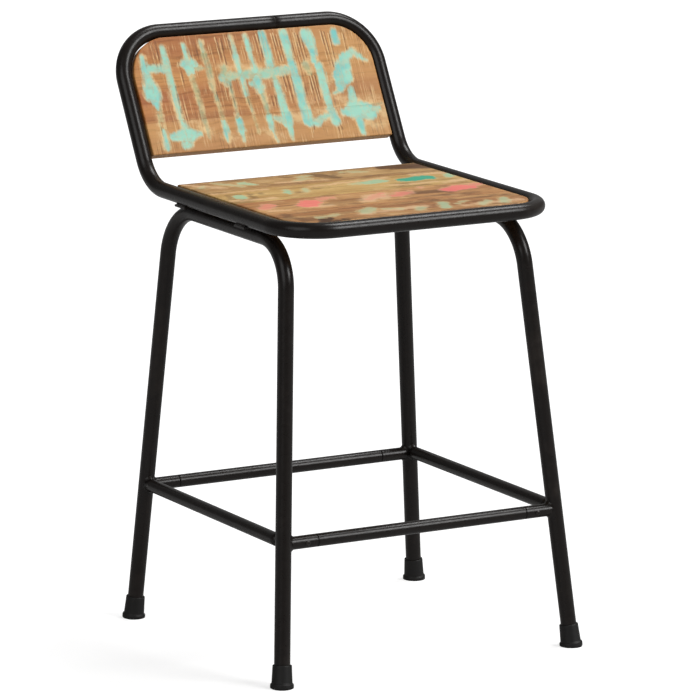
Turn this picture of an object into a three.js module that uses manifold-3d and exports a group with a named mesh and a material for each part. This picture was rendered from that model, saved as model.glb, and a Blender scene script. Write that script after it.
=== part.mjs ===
// Counter-height bar stool: one bent steel loop carries a plank seat and a board backrest, and stands on two
// bent leg frames joined by four footrest stretchers. Millimetres. The sitter faces -Y, +X is to the right
// seen from the front, +Z is up; the finished group stands on z = 0 with its bounding box centred on the origin.
import * as THREE from "three";
import { mergeVertices } from "three/addons/utils/BufferGeometryUtils.js";
import Module from "manifold-3d";

const wasm = await Module();
wasm.setup();

// Stock
const TUBE_RADIUS = 11;
const TUBE_WALL = 1.5;
const STRETCHER_RADIUS = 9;
const STRETCHER_WALL = 1.2;
const FIT = 0.3; // clearance between pieces that touch

// Seat and backrest loop; y is measured back from the axis of the front rail
const LOOP_HALF_WIDTH = 205;
const SEAT_DEPTH = 402; // to the corner where the side rails turn up into the uprights
const SEAT_RAIL_HEIGHT = 614.5;
const BACK_LENGTH = 224.5; // along the uprights, to the axis of the top rail
const BACK_LEAN = THREE.MathUtils.degToRad(29.2);
const TOP_BEND = 70;
const SEAT_BEND = 65;
const SEAM_X = 50; // where the two ends of the loop tube are butted together

// Leg frames
const LEG_RAIL_HEIGHT = 588.5;
const LEG_RAIL_HALF_WIDTH = 184;
const FOOT_HALF_WIDTH = 230.5;
const FRONT_LEG_TOP_Y = 57.5;
const FRONT_FOOT_Y = -21;
const REAR_LEG_TOP_Y = 376;
const REAR_FOOT_Y = 401;
const LEG_BEND = 69;
const LEG_END_HEIGHT = 6; // the cut end of each leg, above the floor

// Stretchers
const SIDE_STRETCHER_HEIGHT = 193.5;
const CROSS_STRETCHER_HEIGHT = 191;
const SOCKET_REACH = 50; // from the leg axis to the mouth of the socket
const SPIGOT_RADIUS = 7.3;
const SPIGOT_LENGTH = 26;
const SWAGE_LENGTH = 5;
const SOCKET_SCREW_SETBACK = 17; // from the mouth of the socket

// Wood
const SEAT_HALF_WIDTH = 190.5;
const SEAT_THICKNESS = 20;
const SEAT_FRONT_Y = 12.5;
const SEAT_REAR_Y = 350;
const SEAT_CORNER = 48;
const PLANK_JOINTS = [94, 184, 272];
const GLUE_LINE = 0.3;
const BACKREST_HALF_WIDTH = 193;
const BACKREST_THICKNESS = 16;
const BACKREST_BOTTOM = 41; // along the uprights, from the seat rail corner
const BACKREST_TOP = 213;
const BACKREST_JOINT = 88;
const BACKREST_CORNER = 60;
const BACKREST_FACE = 8.7; // front face, ahead of the plane of the upright axes

// Cross bars
const BAR_THICKNESS = 3;
const BAR_WIDTH = 28;
const BAR_HALF_LENGTH = 213;
const FRONT_BAR_Y = 136;
const REAR_BAR_Y = 303;

// Backrest tabs
const TAB_WIDTH = 26;
const TAB_REACH = 34; // inwards from the upright axis
const TAB_THICKNESS = 3;
const LOWER_TAB = 64;
const UPPER_TAB = 140;

const RING_SEGMENTS = 8; // three.js doubles this for a full circle
const BEND_STEPS = 7;
const LATHE_SEGMENTS = 18;
const HOLE_SEGMENTS = 10;

const colours = { enamel: 0x26221f, zinc: 0x3a3735, rubber: 0x1f1d1c, seat: 0xb98d55, back: 0xb8855a };

const stool = new THREE.Group();
stool.name = "bar_stool";

function material(colour, roughness, metalness) {
  return new THREE.MeshStandardMaterial({ color: colour, roughness, metalness });
}

const finishes = {
  enamel: () => material(colours.enamel, 0.32, 0.4),
  screw: () => material(colours.zinc, 0.38, 0.8),
  rubber: () => material(colours.rubber, 0.85, 0),
  seatWood: () => material(colours.seat, 0.55, 0),
  backWood: () => material(colours.back, 0.6, 0),
};

function add(name, geometry, finish) {
  const mesh = new THREE.Mesh(geometry, finishes[finish]());
  mesh.name = name;
  stool.add(mesh);
  return mesh;
}

// ---- solids ----

function toSolid(geometry) {
  const bare = new THREE.BufferGeometry();
  bare.setAttribute("position", geometry.getAttribute("position"));
  bare.setIndex(geometry.getIndex());
  const merged = mergeVertices(bare, 1e-4);
  const mesh = new wasm.Mesh({
    numProp: 3,
    vertProperties: merged.attributes.position.array,
    triVerts: new Uint32Array(merged.index.array),
  });
  return new wasm.Manifold(mesh);
}

function toGeometry(solid) {
  const mesh = solid.getMesh();
  const geometry = new THREE.BufferGeometry();
  geometry.setAttribute("position", new THREE.BufferAttribute(mesh.vertProperties, 3));
  geometry.setIndex(new THREE.BufferAttribute(mesh.triVerts, 1));
  const flat = geometry.toNonIndexed();
  flat.computeVertexNormals();
  return flat;
}

function subtract(geometry, cutters) {
  let solid = toSolid(geometry);
  for (const cutter of cutters) {
    solid = solid.subtract(toSolid(cutter));
  }
  return toGeometry(solid);
}

// Turns geometry built along +Y so that it starts at `from` and runs along `direction`.
function aim(geometry, from, direction) {
  const turn = new THREE.Quaternion().setFromUnitVectors(new THREE.Vector3(0, 1, 0), direction.clone().normalize());
  return geometry.applyQuaternion(turn).translate(from.x, from.y, from.z);
}

// A turned part: `profile` lists [radius, height] pairs, going up the outside.
function turned(profile, from, direction, segments = LATHE_SEGMENTS) {
  const points = profile.map(([radius, height]) => new THREE.Vector2(radius, height));
  return aim(new THREE.LatheGeometry(points, segments), from, direction);
}

function rod(radius, from, to, segments = LATHE_SEGMENTS) {
  const along = new THREE.Vector3().subVectors(to, from);
  const profile = [
    [0, 0],
    [radius, 0],
    [radius, along.length()],
    [0, along.length()],
  ];
  return turned(profile, from, along, segments);
}

// A cutter for a screw or bolt hole, a little wider than the shank it clears.
function drill(shankRadius, from, to) {
  return rod(shankRadius + FIT, from, to, HOLE_SEGMENTS);
}

// ---- bent tubes ----

// A centre-line of straight runs and circular bends, sampled only where it bends.
class BentPath extends THREE.Curve {
  constructor(corners, radii) {
    super();
    this.stations = [];
    this.addStation(corners[0], new THREE.Vector3().subVectors(corners[1], corners[0]));
    for (let i = 1; i < corners.length - 1; i++) {
      this.addBend(corners[i - 1], corners[i], corners[i + 1], radii[i - 1]);
    }
    const [beforeLast, last] = corners.slice(-2);
    this.addStation(last, new THREE.Vector3().subVectors(last, beforeLast));
  }

  addStation(point, tangent) {
    this.stations.push({ point: point.clone(), tangent: tangent.clone().normalize() });
  }

  addBend(before, corner, after, radius) {
    const incoming = new THREE.Vector3().subVectors(corner, before).normalize();
    const outgoing = new THREE.Vector3().subVectors(after, corner).normalize();
    const turn = incoming.angleTo(outgoing);
    const axis = new THREE.Vector3().crossVectors(incoming, outgoing).normalize();
    const start = corner.clone().addScaledVector(incoming, -radius * Math.tan(turn / 2));
    const toCentre = new THREE.Vector3().crossVectors(axis, incoming);
    const centre = start.clone().addScaledVector(toCentre, radius);
    for (let step = 0; step <= BEND_STEPS; step++) {
      const angle = (turn * step) / BEND_STEPS;
      const spoke = new THREE.Vector3().subVectors(start, centre).applyAxisAngle(axis, angle);
      this.addStation(spoke.add(centre), incoming.clone().applyAxisAngle(axis, angle));
    }
  }

  station(u) {
    return this.stations[Math.round(u * (this.stations.length - 1))];
  }

  getPointAt(u, target = new THREE.Vector3()) {
    return target.copy(this.station(u).point);
  }

  getTangentAt(u, target = new THREE.Vector3()) {
    return target.copy(this.station(u).tangent);
  }
}

// An open-ended tube with a hollow bore along the corners.
function bentTube(corners, radii) {
  const path = new BentPath(corners, radii);
  const ring = new THREE.Shape();
  ring.absarc(0, 0, TUBE_RADIUS, 0, 2 * Math.PI);
  const bore = new THREE.Path();
  bore.absarc(0, 0, TUBE_RADIUS - TUBE_WALL, 0, 2 * Math.PI);
  ring.holes.push(bore);
  return new THREE.ExtrudeGeometry(ring, {
    steps: path.stations.length - 1,
    curveSegments: RING_SEGMENTS,
    extrudePath: path,
  });
}

// ---- places on the stool ----

const point = (x, y, z) => new THREE.Vector3(x, y, z);
const sides = [
  { name: "left", sign: -1 },
  { name: "right", sign: 1 },
];
const ends = [
  { name: "front", topY: FRONT_LEG_TOP_Y, footY: FRONT_FOOT_Y, barY: FRONT_BAR_Y },
  { name: "rear", topY: REAR_LEG_TOP_Y, footY: REAR_FOOT_Y, barY: REAR_BAR_Y },
];
const UP = point(0, 0, 1);
const BACK_UP = point(0, Math.sin(BACK_LEAN), Math.cos(BACK_LEAN)); // along the uprights
const BACK_FORWARD = point(0, -Math.cos(BACK_LEAN), Math.sin(BACK_LEAN));

// A point of the backrest: across, along the uprights and ahead of their plane.
function onBack(x, along, ahead = 0) {
  return point(x, SEAT_DEPTH, SEAT_RAIL_HEIGHT).addScaledVector(BACK_UP, along).addScaledVector(BACK_FORWARD, ahead);
}

// The axis of a leg at a height above the floor.
function onLeg(side, end, height) {
  const share = height / LEG_RAIL_HEIGHT;
  const x = THREE.MathUtils.lerp(FOOT_HALF_WIDTH, LEG_RAIL_HALF_WIDTH, share);
  return point(side.sign * x, THREE.MathUtils.lerp(end.footY, end.topY, share), height);
}

// ---- loop that carries the seat and the backrest ----

function addLoop() {
  const w = LOOP_HALF_WIDTH;
  const z = SEAT_RAIL_HEIGHT;
  const corners = [
    onBack(SEAM_X + FIT / 2, BACK_LENGTH),
    onBack(w, BACK_LENGTH),
    point(w, SEAT_DEPTH, z),
    point(w, 0, z),
    point(-w, 0, z),
    point(-w, SEAT_DEPTH, z),
    onBack(-w, BACK_LENGTH),
    onBack(SEAM_X - FIT / 2, BACK_LENGTH),
  ];
  const radii = [TOP_BEND, SEAT_BEND, SEAT_BEND, SEAT_BEND, SEAT_BEND, TOP_BEND];
  add("seat_back_frame", bentTube(corners, radii), "enamel");
}

// ---- leg frames, feet and stretchers ----

const BAR_TOP = SEAT_RAIL_HEIGHT - TUBE_RADIUS - FIT;
const BAR_BOTTOM = BAR_TOP - BAR_THICKNESS;
const LEG_BOLT_RADIUS = 3;
const LEG_BOLT_LENGTH = 13;
const INSERT_RADIUS = 4.3;
const INSERT_LENGTH = 11;

function addLegFrame(side) {
  const [front, rear] = ends;
  const corners = [
    onLeg(side, front, LEG_END_HEIGHT),
    onLeg(side, front, LEG_RAIL_HEIGHT),
    onLeg(side, rear, LEG_RAIL_HEIGHT),
    onLeg(side, rear, LEG_END_HEIGHT),
  ];
  const insertHoles = ends.map((end) => {
    const middle = point(side.sign * LEG_RAIL_HALF_WIDTH, end.barY, LEG_RAIL_HEIGHT);
    return drill(INSERT_RADIUS, middle, middle.clone().addScaledVector(UP, 2 * TUBE_RADIUS));
  });
  add(`${side.name}_leg_frame`, subtract(bentTube(corners, [LEG_BEND, LEG_BEND]), insertHoles), "enamel");
}

// A rubber ferrule over the end of a leg, cut flat where it meets the floor.
function addFoot(side, end) {
  const axis = onLeg(side, end, LEG_RAIL_HEIGHT).sub(onLeg(side, end, 0)).normalize();
  const cup = TUBE_RADIUS + FIT;
  const floorOfCup = LEG_END_HEIGHT - 1.5;
  const profile = [
    [0, -4],
    [13.5, -4],
    [15.7, -1.5],
    [16.2, 1],
    [16.2, 4.5],
    [15.3, 6],
    [14.3, 7],
    [13.2, 30],
    [12.7, 31],
    [cup, 31],
    [cup, floorOfCup],
    [0, floorOfCup],
  ];
  const ferrule = turned(profile, onLeg(side, end, 0), axis, 24);
  const ground = new THREE.BoxGeometry(80, 80, 20).translate(side.sign * FOOT_HALF_WIDTH, end.footY, -10);
  add(`${end.name}_${side.name}_foot`, subtract(ferrule, [ground]), "rubber");
}

function legCutter(side, end) {
  const below = onLeg(side, end, SIDE_STRETCHER_HEIGHT - 40);
  const above = onLeg(side, end, SIDE_STRETCHER_HEIGHT + 40);
  return rod(TUBE_RADIUS + FIT, below, above);
}

// A straight tube between two points, open at both ends.
function straightTube(radius, bore, from, to) {
  const along = new THREE.Vector3().subVectors(to, from);
  const length = along.length();
  const profile = [
    [bore, 0],
    [radius, 0],
    [radius, length],
    [bore, length],
    [bore, 0],
  ];
  return turned(profile, from, along);
}

// Side stretchers are plain tubes coped to the legs they are welded to.
function addSideStretcher(side) {
  const [front, rear] = ends;
  const tube = straightTube(
    STRETCHER_RADIUS,
    STRETCHER_RADIUS - STRETCHER_WALL,
    onLeg(side, front, SIDE_STRETCHER_HEIGHT),
    onLeg(side, rear, SIDE_STRETCHER_HEIGHT),
  );
  const coped = subtract(tube, [legCutter(side, front), legCutter(side, rear)]);
  add(`${side.name}_side_stretcher`, coped, "enamel");
}

// The screw of a socket comes from outside: from the front on the front stretcher, from behind on the rear one.
function socketScrew(side, end) {
  const inwards = point(-side.sign, 0, 0);
  const outwards = point(0, end.name === "front" ? -1 : 1, 0);
  const fromLeg = SOCKET_REACH - SOCKET_SCREW_SETBACK;
  const place = onLeg(side, end, CROSS_STRETCHER_HEIGHT).addScaledVector(inwards, fromLeg);
  return { place, outwards };
}

const SOCKET_SCREW_RADIUS = 1.7;

function socketScrewHole(side, end) {
  const { place, outwards } = socketScrew(side, end);
  return drill(SOCKET_SCREW_RADIUS, place, place.clone().addScaledVector(outwards, 2 * STRETCHER_RADIUS));
}

// A socket is coped to its leg and clears the side stretcher that meets the leg beside it.
function addSocket(side, end) {
  const start = onLeg(side, end, CROSS_STRETCHER_HEIGHT);
  const mouth = start.clone().add(point(-side.sign * SOCKET_REACH, 0, 0));
  const tube = straightTube(STRETCHER_RADIUS, SPIGOT_RADIUS + FIT, start, mouth);
  const sideTube = rod(
    STRETCHER_RADIUS + FIT,
    onLeg(side, ends[0], SIDE_STRETCHER_HEIGHT),
    onLeg(side, ends[1], SIDE_STRETCHER_HEIGHT),
  );
  const socket = subtract(tube, [legCutter(side, end), sideTube, socketScrewHole(side, end)]);
  add(`${end.name}_${side.name}_stretcher_socket`, socket, "enamel");
}

// Front and rear stretchers are narrowed at both ends to plug into the sockets.
function addCrossStretcher(end) {
  const [left, right] = sides;
  const mouthX = (side) => onLeg(side, end, CROSS_STRETCHER_HEIGHT).x - side.sign * SOCKET_REACH;
  const { y } = onLeg(left, end, CROSS_STRETCHER_HEIGHT);
  const start = point(mouthX(left) - SPIGOT_LENGTH, y, CROSS_STRETCHER_HEIGHT);
  const length = mouthX(right) + SPIGOT_LENGTH - start.x;
  const shoulder = SPIGOT_LENGTH + FIT;
  const full = STRETCHER_RADIUS;
  const outside = [
    [SPIGOT_RADIUS, 0],
    [SPIGOT_RADIUS, shoulder],
    [full - 0.4, shoulder],
    [full, shoulder + 0.6],
    [full, length - shoulder - 0.6],
    [full - 0.4, length - shoulder],
    [SPIGOT_RADIUS, length - shoulder],
    [SPIGOT_RADIUS, length],
  ];
  const narrowBore = SPIGOT_RADIUS - STRETCHER_WALL;
  const wideBore = full - STRETCHER_WALL;
  const taper = shoulder + SWAGE_LENGTH;
  const inside = [
    [narrowBore, length],
    [narrowBore, length - shoulder],
    [wideBore, length - taper],
    [wideBore, taper],
    [narrowBore, shoulder],
    [narrowBore, 0],
  ];
  const tube = turned([...outside, ...inside, outside[0]], start, point(1, 0, 0));
  const holes = sides.map((side) => socketScrewHole(side, end));
  add(`${end.name}_stretcher`, subtract(tube, holes), "enamel");
}

// A pan-head fastener: the head stands on `seatOfHead`, the shank runs `length` against `outwards`.
function fastener(seatOfHead, outwards, { headRadius, headHeight, shankRadius, length }) {
  const profile = [
    [0, -length],
    [shankRadius, -length],
    [shankRadius, 0],
    [headRadius, 0],
    [headRadius, headHeight * 0.45],
    [headRadius * 0.7, headHeight],
    [0, headHeight],
  ];
  return turned(profile, seatOfHead, outwards, HOLE_SEGMENTS);
}

function addSocketScrew(side, end) {
  const { place, outwards } = socketScrew(side, end);
  const seatOfHead = place.clone().addScaledVector(outwards, STRETCHER_RADIUS + FIT);
  const size = { headRadius: 3.4, headHeight: 1.8, shankRadius: SOCKET_SCREW_RADIUS, length: 6 };
  add(`${end.name}_${side.name}_socket_screw`, fastener(seatOfHead, outwards, size), "screw");
}

// ---- cross bars and what bolts to them ----

const SEAT_SCREW_X = 110;
const SEAT_SCREW_RADIUS = 2;
const SEAT_SCREW_LENGTH = 17;

function addCrossBar(end) {
  const bar = new THREE.BoxGeometry(2 * BAR_HALF_LENGTH, BAR_WIDTH, BAR_THICKNESS);
  bar.translate(0, end.barY, (BAR_TOP + BAR_BOTTOM) / 2);
  const holes = sides.flatMap((side) => {
    const below = point(side.sign * SEAT_SCREW_X, end.barY, BAR_BOTTOM - 5);
    const screwHole = drill(SEAT_SCREW_RADIUS, below, below.clone().addScaledVector(UP, 15));
    const countersink = [
      [0, -2],
      [LEG_BOLT_RADIUS + FIT, -2],
      [LEG_BOLT_RADIUS + FIT, 0],
      [LEG_BOLT_RADIUS + FIT + BAR_THICKNESS, BAR_THICKNESS + FIT],
      [0, BAR_THICKNESS + FIT],
    ];
    const boltHole = turned(countersink, point(side.sign * LEG_RAIL_HALF_WIDTH, end.barY, BAR_BOTTOM), UP, 16);
    return [screwHole, boltHole];
  });
  add(`${end.name}_cross_bar`, subtract(bar, holes), "enamel");
}

// A countersunk bolt, flush with the top of the cross bar, in a threaded insert in the leg rail.
function addLegBolt(side, end) {
  const top = point(side.sign * LEG_RAIL_HALF_WIDTH, end.barY, BAR_TOP - FIT);
  const headHeight = BAR_THICKNESS - 2 * FIT;
  const bolt = [
    [0, -LEG_BOLT_LENGTH],
    [LEG_BOLT_RADIUS, -LEG_BOLT_LENGTH],
    [LEG_BOLT_RADIUS, -headHeight],
    [LEG_BOLT_RADIUS + headHeight, 0],
    [0, 0],
  ];
  add(`${end.name}_${side.name}_leg_bolt`, turned(bolt, top, UP, 16), "screw");
  const bore = LEG_BOLT_RADIUS + FIT;
  const insert = [
    [bore, -INSERT_LENGTH],
    [INSERT_RADIUS, -INSERT_LENGTH],
    [INSERT_RADIUS, 0],
    [bore, 0],
    [bore, -INSERT_LENGTH],
  ];
  const mouth = point(side.sign * LEG_RAIL_HALF_WIDTH, end.barY, LEG_RAIL_HEIGHT + TUBE_RADIUS);
  add(`${end.name}_${side.name}_leg_insert`, turned(insert, mouth, UP, 16), "screw");
}

function addSeatScrew(side, end) {
  const seatOfHead = point(side.sign * SEAT_SCREW_X, end.barY, BAR_BOTTOM - FIT);
  const size = { headRadius: 4, headHeight: 2.4, shankRadius: SEAT_SCREW_RADIUS, length: SEAT_SCREW_LENGTH };
  add(`${end.name}_${side.name}_seat_screw`, fastener(seatOfHead, UP.clone().negate(), size), "screw");
}

// ---- seat planks ----

function roundedRectangle(x0, y0, x1, y1, radii) {
  const [lowerLeft, lowerRight, upperRight, upperLeft] = radii;
  const shape = new THREE.Shape();
  shape.moveTo(x0 + lowerLeft, y0);
  shape.lineTo(x1 - lowerRight, y0);
  if (lowerRight) shape.absarc(x1 - lowerRight, y0 + lowerRight, lowerRight, -Math.PI / 2, 0);
  shape.lineTo(x1, y1 - upperRight);
  if (upperRight) shape.absarc(x1 - upperRight, y1 - upperRight, upperRight, 0, Math.PI / 2);
  shape.lineTo(x0 + upperLeft, y1);
  if (upperLeft) shape.absarc(x0 + upperLeft, y1 - upperLeft, upperLeft, Math.PI / 2, Math.PI);
  shape.lineTo(x0, y0 + lowerLeft);
  if (lowerLeft) shape.absarc(x0 + lowerLeft, y0 + lowerLeft, lowerLeft, Math.PI, 1.5 * Math.PI);
  return shape;
}

function board(shape, thickness) {
  return new THREE.ExtrudeGeometry(shape, { depth: thickness, bevelEnabled: false, curveSegments: 5 });
}

function addSeatPlanks() {
  const edges = [SEAT_FRONT_Y, ...PLANK_JOINTS, SEAT_REAR_Y];
  const bottom = BAR_TOP + FIT;
  const screwHoles = sides.flatMap((side) =>
    ends.map((end) => {
      const from = point(side.sign * SEAT_SCREW_X, end.barY, bottom - 5);
      const depth = SEAT_SCREW_LENGTH - BAR_THICKNESS + 5;
      return drill(SEAT_SCREW_RADIUS, from, from.clone().addScaledVector(UP, depth));
    }),
  );
  for (let i = 0; i < edges.length - 1; i++) {
    const near = i === 0 ? edges[i] : edges[i] + GLUE_LINE / 2;
    const far = i === edges.length - 2 ? edges[i + 1] : edges[i + 1] - GLUE_LINE / 2;
    const corner = i === 0 ? SEAT_CORNER : 0;
    const shape = roundedRectangle(-SEAT_HALF_WIDTH, near, SEAT_HALF_WIDTH, far, [corner, corner, 0, 0]);
    const plank = board(shape, SEAT_THICKNESS).translate(0, 0, bottom);
    add(`seat_plank_${i + 1}`, subtract(plank, screwHoles), "seatWood");
  }
}

// ---- backrest ----

const TAB_SCREW_LENGTH = 14;
const TAB_FRONT = BACKREST_FACE - BACKREST_THICKNESS - FIT;
const tabRows = [
  { name: "lower", along: LOWER_TAB },
  { name: "upper", along: UPPER_TAB },
];

const TAB_SCREW_X = LOOP_HALF_WIDTH - TAB_REACH + 9;

// Stands geometry drawn in the x-y plane up in the plane of the backrest, `ahead` of the upright axes.
function standUp(geometry, ahead) {
  const basis = new THREE.Matrix4().makeBasis(point(1, 0, 0), BACK_UP, BACK_FORWARD);
  return geometry.applyMatrix4(basis.setPosition(onBack(0, 0, ahead)));
}

function tabScrewHole(side, row) {
  const from = onBack(side.sign * TAB_SCREW_X, row.along, TAB_FRONT - 2 * TAB_THICKNESS);
  const to = from.clone().addScaledVector(BACK_FORWARD, TAB_SCREW_LENGTH + TAB_THICKNESS + FIT);
  return drill(SEAT_SCREW_RADIUS, from, to);
}

function addBackrestBoards() {
  const w = BACKREST_HALF_WIDTH;
  const r = BACKREST_CORNER;
  const lower = roundedRectangle(-w, BACKREST_BOTTOM, w, BACKREST_JOINT - GLUE_LINE / 2, [0, 0, 0, 0]);
  const upper = roundedRectangle(-w, BACKREST_JOINT + GLUE_LINE / 2, w, BACKREST_TOP, [0, 0, r, r]);
  const rear = BACKREST_FACE - BACKREST_THICKNESS;
  const screwHoles = sides.flatMap((side) => tabRows.map((row) => tabScrewHole(side, row)));
  const boards = { backrest_lower_board: lower, backrest_upper_board: upper };
  for (const [name, shape] of Object.entries(boards)) {
    add(name, subtract(standUp(board(shape, BACKREST_THICKNESS), rear), screwHoles), "backWood");
  }
}

// A small plate welded to the inner side of an upright, behind the backrest board.
function addBackrestTab(side, row) {
  const half = TAB_WIDTH / 2;
  const inner = LOOP_HALF_WIDTH - TAB_REACH;
  const shape = roundedRectangle(inner, row.along - half, LOOP_HALF_WIDTH, row.along + half, [6, 0, 0, 6]);
  const plate = board(shape, TAB_THICKNESS);
  if (side.sign < 0) plate.rotateY(Math.PI).translate(0, 0, TAB_THICKNESS);
  const uprightX = side.sign * LOOP_HALF_WIDTH;
  const upright = rod(TUBE_RADIUS + FIT, onBack(uprightX, 0), onBack(uprightX, BACK_LENGTH));
  const tab = subtract(standUp(plate, TAB_FRONT - TAB_THICKNESS), [upright, tabScrewHole(side, row)]);
  add(`${row.name}_${side.name}_backrest_tab`, tab, "enamel");
  const seatOfHead = onBack(side.sign * TAB_SCREW_X, row.along, TAB_FRONT - TAB_THICKNESS - FIT);
  const backwards = BACK_FORWARD.clone().negate();
  const size = { headRadius: 4, headHeight: 2.4, shankRadius: SEAT_SCREW_RADIUS, length: TAB_SCREW_LENGTH };
  add(`${row.name}_${side.name}_backrest_screw`, fastener(seatOfHead, backwards, size), "screw");
}

// ---- assembly ----

addLoop();
addSeatPlanks();
addBackrestBoards();
for (const side of sides) {
  addLegFrame(side);
  addSideStretcher(side);
  tabRows.forEach((row) => addBackrestTab(side, row));
}
for (const end of ends) {
  addCrossBar(end);
  addCrossStretcher(end);
  for (const side of sides) {
    addSocket(side, end);
    addSocketScrew(side, end);
    addLegBolt(side, end);
    addSeatScrew(side, end);
    addFoot(side, end);
  }
}

stool.updateMatrixWorld(true);
const box = new THREE.Box3().setFromObject(stool, true);
stool.position.set(-(box.min.x + box.max.x) / 2, -(box.min.y + box.max.y) / 2, -box.min.z);

export default stool;
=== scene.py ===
"""A counter-height bar stool: black tube frame with a footrest, seat and backrest in worn painted wood.

Everything is in metres: the sitter faces -Y, +X is to the right seen from the front, +Z is up.
"""

import math
import random

import bmesh
import bpy
import numpy as np
from mathutils import Matrix, Vector, noise


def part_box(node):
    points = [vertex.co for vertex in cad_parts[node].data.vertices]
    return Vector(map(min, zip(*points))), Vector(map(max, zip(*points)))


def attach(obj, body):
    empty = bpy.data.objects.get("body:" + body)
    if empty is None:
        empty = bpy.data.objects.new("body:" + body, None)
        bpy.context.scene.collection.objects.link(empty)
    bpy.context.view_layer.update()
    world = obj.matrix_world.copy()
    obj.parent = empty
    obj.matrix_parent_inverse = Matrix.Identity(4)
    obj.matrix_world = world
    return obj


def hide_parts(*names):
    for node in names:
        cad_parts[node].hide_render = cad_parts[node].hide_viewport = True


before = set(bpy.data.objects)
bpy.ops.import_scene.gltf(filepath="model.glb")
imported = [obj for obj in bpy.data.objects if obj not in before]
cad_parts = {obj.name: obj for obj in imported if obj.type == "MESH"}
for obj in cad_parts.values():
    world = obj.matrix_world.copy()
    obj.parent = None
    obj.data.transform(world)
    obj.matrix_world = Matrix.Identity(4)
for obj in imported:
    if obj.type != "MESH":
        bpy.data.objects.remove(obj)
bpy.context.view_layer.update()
random.seed(7)

MM = 0.001
FRONT_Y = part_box("seat_plank_1")[0][1] - 12.5 * MM  # the axis of the front seat rail

# Tubes
TUBE_RADIUS = 11 * MM
STRETCHER_RADIUS = 9 * MM
BEND_STEP = math.radians(3)  # between two rings of a bend
RUN_STEP = 12 * MM  # and of a straight run
WELD_STEPS = 72
WELD_REACH = 1.5 * MM  # beside the stretcher
WELD_EXTRA = 2.6 * MM  # more above and below it
WELD_SINK = 0.4 * MM  # of its outer edge into the leg
WELD_OVERLAP = 0.3 * MM  # of its inner edge into the stretcher
WELD_ROOT = (1.5 * MM, 1 * MM)  # into the stretcher and into the leg, out of sight

# Loop that carries the seat and the backrest
LOOP_HALF_WIDTH = 205 * MM
SEAT_CORNER_Y = FRONT_Y + 402 * MM  # where the side rails turn up into the uprights
SEAT_RAIL_Z = 614.5 * MM
BACK_LENGTH = 224.5 * MM
BACK_LEAN = math.radians(29.2)
TOP_BEND = 70 * MM
SEAT_BEND = 65 * MM
SEAM_X = 50 * MM
SEAM_GAP = 0.3 * MM
SEAM_BEVEL = 0.35 * MM
SEAM_BEAD = 0.9 * MM
SEAM_BEAD_DEPTH = 1.05 * MM  # the bead's centre under the tube's surface

# Leg frames, each end as (y of the leg at the leg rail, y of the foot)
LEG_RAIL_Z = 588.5 * MM
LEG_RAIL_HALF_WIDTH = 184 * MM
FOOT_HALF_WIDTH = 230.5 * MM
LEG_Y = {"front": (57.5 * MM, -21 * MM), "rear": (376 * MM, 401 * MM)}
LEG_BEND = 69 * MM
LEG_END_Z = 6 * MM
SIDE_STRETCHER_Z = 193.5 * MM
CROSS_STRETCHER_Z = 191 * MM
SOCKET_REACH = 50 * MM
IN_LEG = 9 * MM  # from a leg's axis to the end of a tube welded to it
SPIGOT_RADIUS = 7.3 * MM
SPIGOT_PLAY = 0.2 * MM
SPIGOT_SHOWN = 2 * MM  # how far the narrow ends reach past what can be seen
STRETCHER_LIP = 0.7 * MM  # rounding of the sockets' and stretchers' ends, and the gap between them

# Wood
BACKREST_TOP = 213 * MM  # along the uprights
BACKREST_BOTTOM = 41 * MM
BACKREST_JOINT = 88 * MM
BACKREST_HALF_WIDTH = 193 * MM
BACKREST_CORNER = 60 * MM
BACKREST_FACE = 8.7 * MM
BACKREST_THICKNESS = 16 * MM
SEAT_CORNER_RADIUS = 48 * MM
SEAT_GRID = 1.6 * MM
BACKREST_GRID = 1.25 * MM
EDGE_STEPS = (0, 0.12, 0.4, 1)  # the grid's lines over a rounded edge
RELIEF_FADE = 3 * MM  # the relief ends this far from the outline
BACK_CHAMFER = (0.4 * MM, 0.6 * MM)
BARE = -20.0  # the stored distance, in mm, where no paint is near
FACE_DEPTH = 4  # in mm; only vertices above it carry paint

# Fasteners and plates
SMALL_HEAD = 1.8 * MM
LARGE_HEAD = 2.4 * MM
BOLT_SHANK = 3 * MM
HEX_DEPTH = 1.6 * MM
SCREW_SIDES = 48
PLATE_EDGE = 0.5 * MM
BAR_EDGE = 0.6 * MM
BAR_WELD_RADIUS = 2 * MM
BAR_WELD_OUT = 5.5 * MM  # from the loop's axis
BAR_WELD_UP = 0.9 * MM  # over the bar
INSERT_EDGE = 0.15 * MM

# Studio: place, energy and spread in degrees of each light, all aimed at LIT_POINT
LIT_POINT = (0, 0, 0.4)
LIGHTS = {
    "key": ((2.5, -3.35, 3.15), 1.9, 24),
    "overhead": ((2.5, 0.2, 4.75), 1.65, 23),
    "fill": ((-3.75, -2.0, 3.0), 0.85, 40),
    "rear fill": ((2.0, 4.5, 2.5), 0.15, 60),
}
ROOM_STRENGTH = 0.16
FLOOR_HALF = 40
FLOOR_GREY = 0.5
FLOOR_GLOW = 0.68  # seen by the camera only

# Camera
CAMERA_ANGLES = (-30.5, 12.0, 0.6)  # azimuth, elevation and roll in degrees
CAMERA_TARGET = (0, FRONT_Y + 199.6 * MM, 399.5 * MM)
CAMERA_DISTANCE = 7.51
FOCAL_SHARE = 7.757  # the focal length in frame widths
SENSOR_WIDTH = 36

SIDES = {"left": -1, "right": 1}
ENDS = ("front", "rear")
BACK_UP = Vector((0, math.sin(BACK_LEAN), math.cos(BACK_LEAN)))
BACK_FORWARD = Vector((0, -math.cos(BACK_LEAN), math.sin(BACK_LEAN)))
UP = Vector((0, 0, 1))


# ---- places ----


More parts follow.
